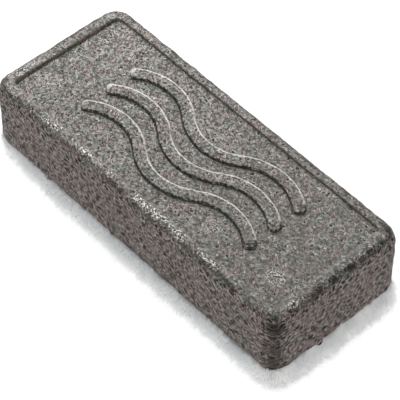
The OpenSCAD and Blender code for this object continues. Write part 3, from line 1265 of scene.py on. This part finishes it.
def makePileFibre():
    # painted shade: dark at the root under the block, pale at the tip; streaked, each tuft with a tone of
    # its own
    material, tree, shader = newMaterial("pileFibre", 0.75, sheen=0.5)
    place = put(tree, "ShaderNodeTexCoord", (-1500, 0)).outputs["Object"]
    split = put(tree, "ShaderNodeSeparateXYZ", (-1300, 200), {0: place})
    drop = remap(tree, split.outputs["Z"], pileHigh.z, 1.2 * mm, (-1100, 200))
    stretched = vectorMaths(tree, "MULTIPLY", place, pile["stretch"], (-1300, -100))
    grain = grains(tree, stretched, pile["grainSizes"], (-1100, -100))
    streak = mixValues(tree, 0.5, grain["Grain"], grain["Patch"], (-850, -100))
    shade = put(tree, "ShaderNodeAttribute", (-1100, 450), attribute_name="tuftShade").outputs["Fac"]
    tone = maths(tree, "ADD", drop, product(tree, streak, 0.34, (-650, -50)), (-500, 100), clamp=True)
    tone = maths(tree, "SUBTRACT", tone, product(tree, shade, 0.30, (-850, 450)), (-400, 250), clamp=True)
    colour = blendColour(tree, tone, pile["root"], pile["tip"], (-300, 100))
    # painted shade: the right end of the pile is greyer
    rightEnd = remap(tree, split.outputs["X"], 52 * mm, 63 * mm, (-1100, -450), 0.2, 0.8)
    greyed = product(tree, remap(tree, grain["Blotch"], -0.3, 1.0, (-850, -350)), rightEnd, (-500, -300))
    colour = blendColour(tree, greyed, colour, pile["shadeColour"], (-100, 100))
    tree.links.new(colour, shader.inputs["Base Color"])
    addBump(tree, shader, 0.6, pile["bump"], streak, (-300, -400))
    return material


pileFibre = makePileFibre()
dress(pilePad, pileFibre, "pile")
dress(pileSkirt, pileFibre)
dress(pileHem, pileFibre)
dress(pileFace, pileFibre)
print("pile dressed")


# backing cloth: a knitted sheet between the glue and the pile

backing = {
    "cell": 0.5 * mm,
    "inset": 0.5 * mm,
    "thickness": 0.8 * mm,
    "ribPitch": 1.5 * mm,
    "ribHeight": 0.06 * mm,
    # the knit's blue grey is partly its own colour and partly painted shade, so its edge reads as the pile's
    # shaded root under the block
    "yarn": (0.60, 0.62, 0.63, 1),
    "gap": (0.40, 0.42, 0.43, 1),
    "grainSizes": (0.4 * mm, 1.2 * mm, 9 * mm),
    "bump": 0.15 * mm,
}


def buildBacking():
    size = clothHigh - clothLow
    middle = (0, 0, (clothLow.z + clothHigh.z) / 2)
    bpy.ops.mesh.primitive_grid_add(
        x_subdivisions=round(size.x / backing["cell"]), y_subdivisions=round(size.y / backing["cell"]),
        size=1, location=middle)
    obj = bpy.context.object
    obj.name = obj.data.name = "backingCloth"
    obj.scale = (size.x, size.y, 1)
    applyPlace(obj)
    radius = block["cornerRadius"]
    halfX, halfY = clothHigh.x - backing["inset"], clothHigh.y - backing["inset"]
    away = outlineDistance(readPoints(obj), halfX, halfY, radius)
    selectInEdit(obj, "VERT", lambda v: away[v.index] > backing["cell"] * 0.5)
    bpy.ops.mesh.delete(type="VERT")
    bpy.ops.object.mode_set(mode="OBJECT")
    # the cut edge follows the block's outline
    points = readPoints(obj)
    corner = np.array([halfX - radius, halfY - radius])
    centre = np.clip(points[:, :2], -corner, corner)
    arm = points[:, :2] - centre
    reach = np.linalg.norm(arm, axis=1)
    edge = reach > radius - backing["cell"] * 0.5
    points[edge, :2] = centre[edge] + arm[edge] * (radius / reach[edge])[:, None]
    ribs = np.sin(points[:, 1] / backing["ribPitch"] * 2 * math.pi) + 0.5 * lumpNoise(points, 1.2 * mm, 8)
    points[:, 2] += backing["ribHeight"] * ribs
    writePoints(obj, points)
    applyModifier(obj, "SOLIDIFY", thickness=backing["thickness"], offset=0)
    return obj


def makeKnit():
    material, tree, shader = newMaterial("knittedBacking", 0.85, sheen=0.2)
    place = put(tree, "ShaderNodeTexCoord", (-1300, 0)).outputs["Object"]
    scale = maths(tree, "DIVIDE", 2 * math.pi, backing["ribPitch"], (-1300, -250))
    split = put(tree, "ShaderNodeSeparateXYZ", (-1100, 0), {0: place})
    waves = [maths(tree, "SINE", product(tree, split.outputs[axis], scale, (-900, y)), 0, (-700, y))
             for axis, y in (("Y", 0), ("X", -200))]
    loops = remap(tree, product(tree, waves[0], waves[1], (-500, -100)), -1.0, 1.0, (-350, -100))
    grain = grains(tree, place, backing["grainSizes"], (-700, 250))
    tone = mixValues(tree, 0.45, loops, grain["Grain"], (-150, 100))
    colour = blendColour(tree, tone, backing["gap"], backing["yarn"], (50, 100))
    tree.links.new(colour, shader.inputs["Base Color"])
    addBump(tree, shader, 0.7, backing["bump"], tone, (50, -250))
    return material


backingCloth = buildBacking()
dress(backingCloth, makeKnit(), "backing_cloth")
print("backing cloth laid:", len(backingCloth.data.polygons), "faces")


# glue film: the frame's own piece, with a finish

glue = {
    # the glue's milky grey is partly its own colour and partly painted shade, toned to sit in the shade
    # under the block
    "clear": (0.46, 0.455, 0.43, 1),
    "milky": (0.62, 0.615, 0.59, 1),
    "grainSizes": (0.8 * mm, 2.5 * mm, 9 * mm),
    "bump": 0.2 * mm,
}


def makeGlue():
    material, tree, shader = newMaterial("hotMeltGlue", 0.45)
    place = put(tree, "ShaderNodeTexCoord", (-900, 0)).outputs["Object"]
    grain = grains(tree, place, glue["grainSizes"], (-650, 0))
    colour = blendColour(tree, grain["Patch"], glue["clear"], glue["milky"], (-350, 100))
    tree.links.new(colour, shader.inputs["Base Color"])
    addBump(tree, shader, 0.4, glue["bump"], grain["Grain"], (-350, -200))
    gloss = remap(tree, grain["Blotch"], 0.0, 1.0, (-350, -450), 0.3, 0.6)
    tree.links.new(gloss, shader.inputs["Roughness"])
    return material


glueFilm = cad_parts["glue_film"]
glueFilm.data.materials.clear()
glueFilm.data.materials.append(makeGlue())
print("glue finished")


# studio: a floor that shows white, even light from all round, a small softbox behind on the left
# and a wide one low in front

studio = {
    "floorSize": 6.0,
    "floorGlow": 0.90,
    "floorSeen": 0.12,
    "floorBounce": 0.85,
    "surround": 1.08,
    # name, place, size and power of each softbox
    "boxes": [("backBox", (-0.20, 0.15, 0.20), 0.12, 1.9), ("frontBox", (0.34, -0.40, 0.12), 0.50, 2.0)],
}


def grey(value):
    return (value, value, value, 1)


def addStudio():
    bpy.ops.mesh.primitive_plane_add(size=studio["floorSize"])
    floor = bpy.context.object
    floor.name = "floor"
    material = bpy.data.materials.new("floor")
    material.use_nodes = True
    tree = material.node_tree
    tree.nodes.clear()
    bounce = put(tree, "ShaderNodeBsdfDiffuse", (-300, 0), {"Color": grey(studio["floorBounce"])})
    seen = put(tree, "ShaderNodeBsdfDiffuse", (-600, -200), {"Color": grey(studio["floorSeen"])})
    glow = put(tree, "ShaderNodeEmission", (-600, -400), {
        "Color": grey(1.0), "Strength": studio["floorGlow"]})
    shown = put(tree, "ShaderNodeAddShader", (-300, -300), {0: seen.outputs[0], 1: glow.outputs[0]})
    path = put(tree, "ShaderNodeLightPath", (-300, 350))
    mix = put(tree, "ShaderNodeMixShader", (0, 0), {
        0: path.outputs["Is Camera Ray"], 1: bounce.outputs[0], 2: shown.outputs[0]})
    put(tree, "ShaderNodeOutputMaterial", (250, 0), {0: mix.outputs[0]})
    floor.data.materials.append(material)
    world = bpy.data.worlds.new("studio")
    bpy.context.scene.world = world
    world.use_nodes = True
    background = world.node_tree.nodes["Background"]
    background.inputs["Color"].default_value = grey(1.0)
    background.inputs["Strength"].default_value = studio["surround"]
    for name, place, size, power in studio["boxes"]:
        data = bpy.data.lights.new(name, "AREA")
        data.size, data.energy = size, power
        softbox = bpy.data.objects.new(name, data)
        bpy.context.scene.collection.objects.link(softbox)
        softbox.location = place
        softbox.rotation_euler = (-Vector(place)).to_track_quat("-Z", "Y").to_euler()
    bpy.context.scene.view_settings.view_transform = "Standard"


addStudio()
print("studio lit")
